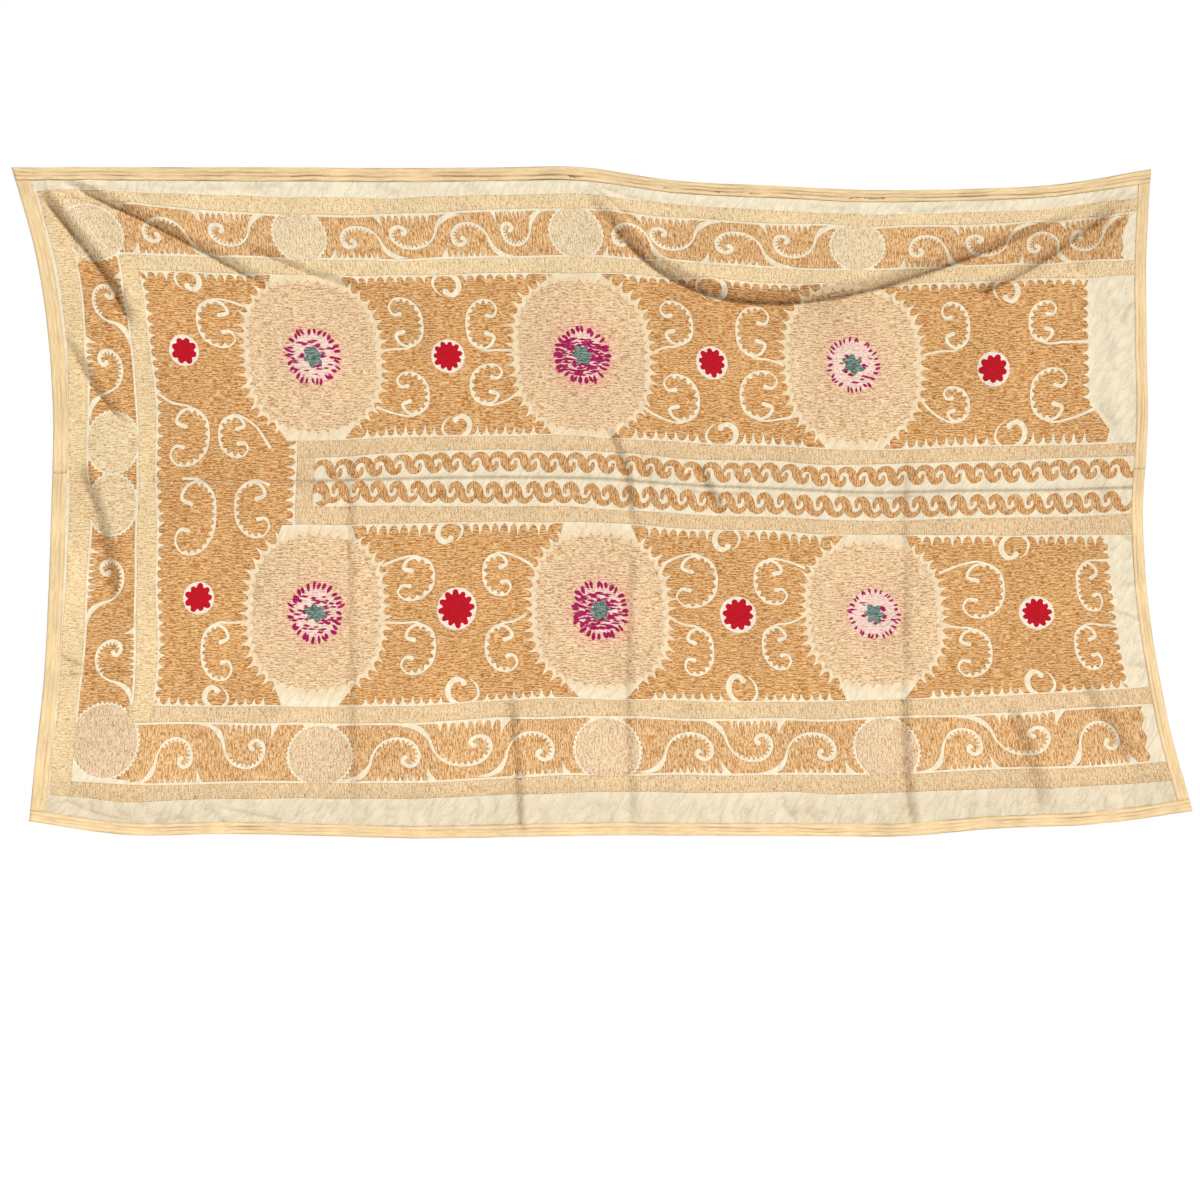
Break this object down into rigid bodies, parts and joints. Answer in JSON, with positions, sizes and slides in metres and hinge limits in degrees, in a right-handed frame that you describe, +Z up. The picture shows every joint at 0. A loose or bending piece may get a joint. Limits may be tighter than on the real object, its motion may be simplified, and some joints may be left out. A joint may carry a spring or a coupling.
{
  "type": "suzani embroidered textile",
  "caption": "Wide rectangular embroidered cotton hanging with a bound edge, held along its top edge and falling in soft diagonal folds; covers a wall, bed or table.",
  "frame": {"origin": "middle of the top edge, where the hanging is held between its two top corners", "axes": "+X along the top edge towards the right as seen from the front, -Y out of the embroidered front, +Z up"},
  "size_m": [2.5404, 0.0405, 1.4449],
  "materials": {
    "embroidered_cotton": "matte",
    "edge_cotton": "matte"
  },
  "bodies": {
    "root": {"panel_upper": "embroidered_cotton", "panel_lower": "embroidered_cotton", "binding_top": "edge_cotton", "binding_bottom": "edge_cotton", "binding_left_upper": "edge_cotton", "binding_left_lower": "edge_cotton", "binding_right_upper": "edge_cotton", "binding_right_lower": "edge_cotton"}
  },
  "joints": []
}
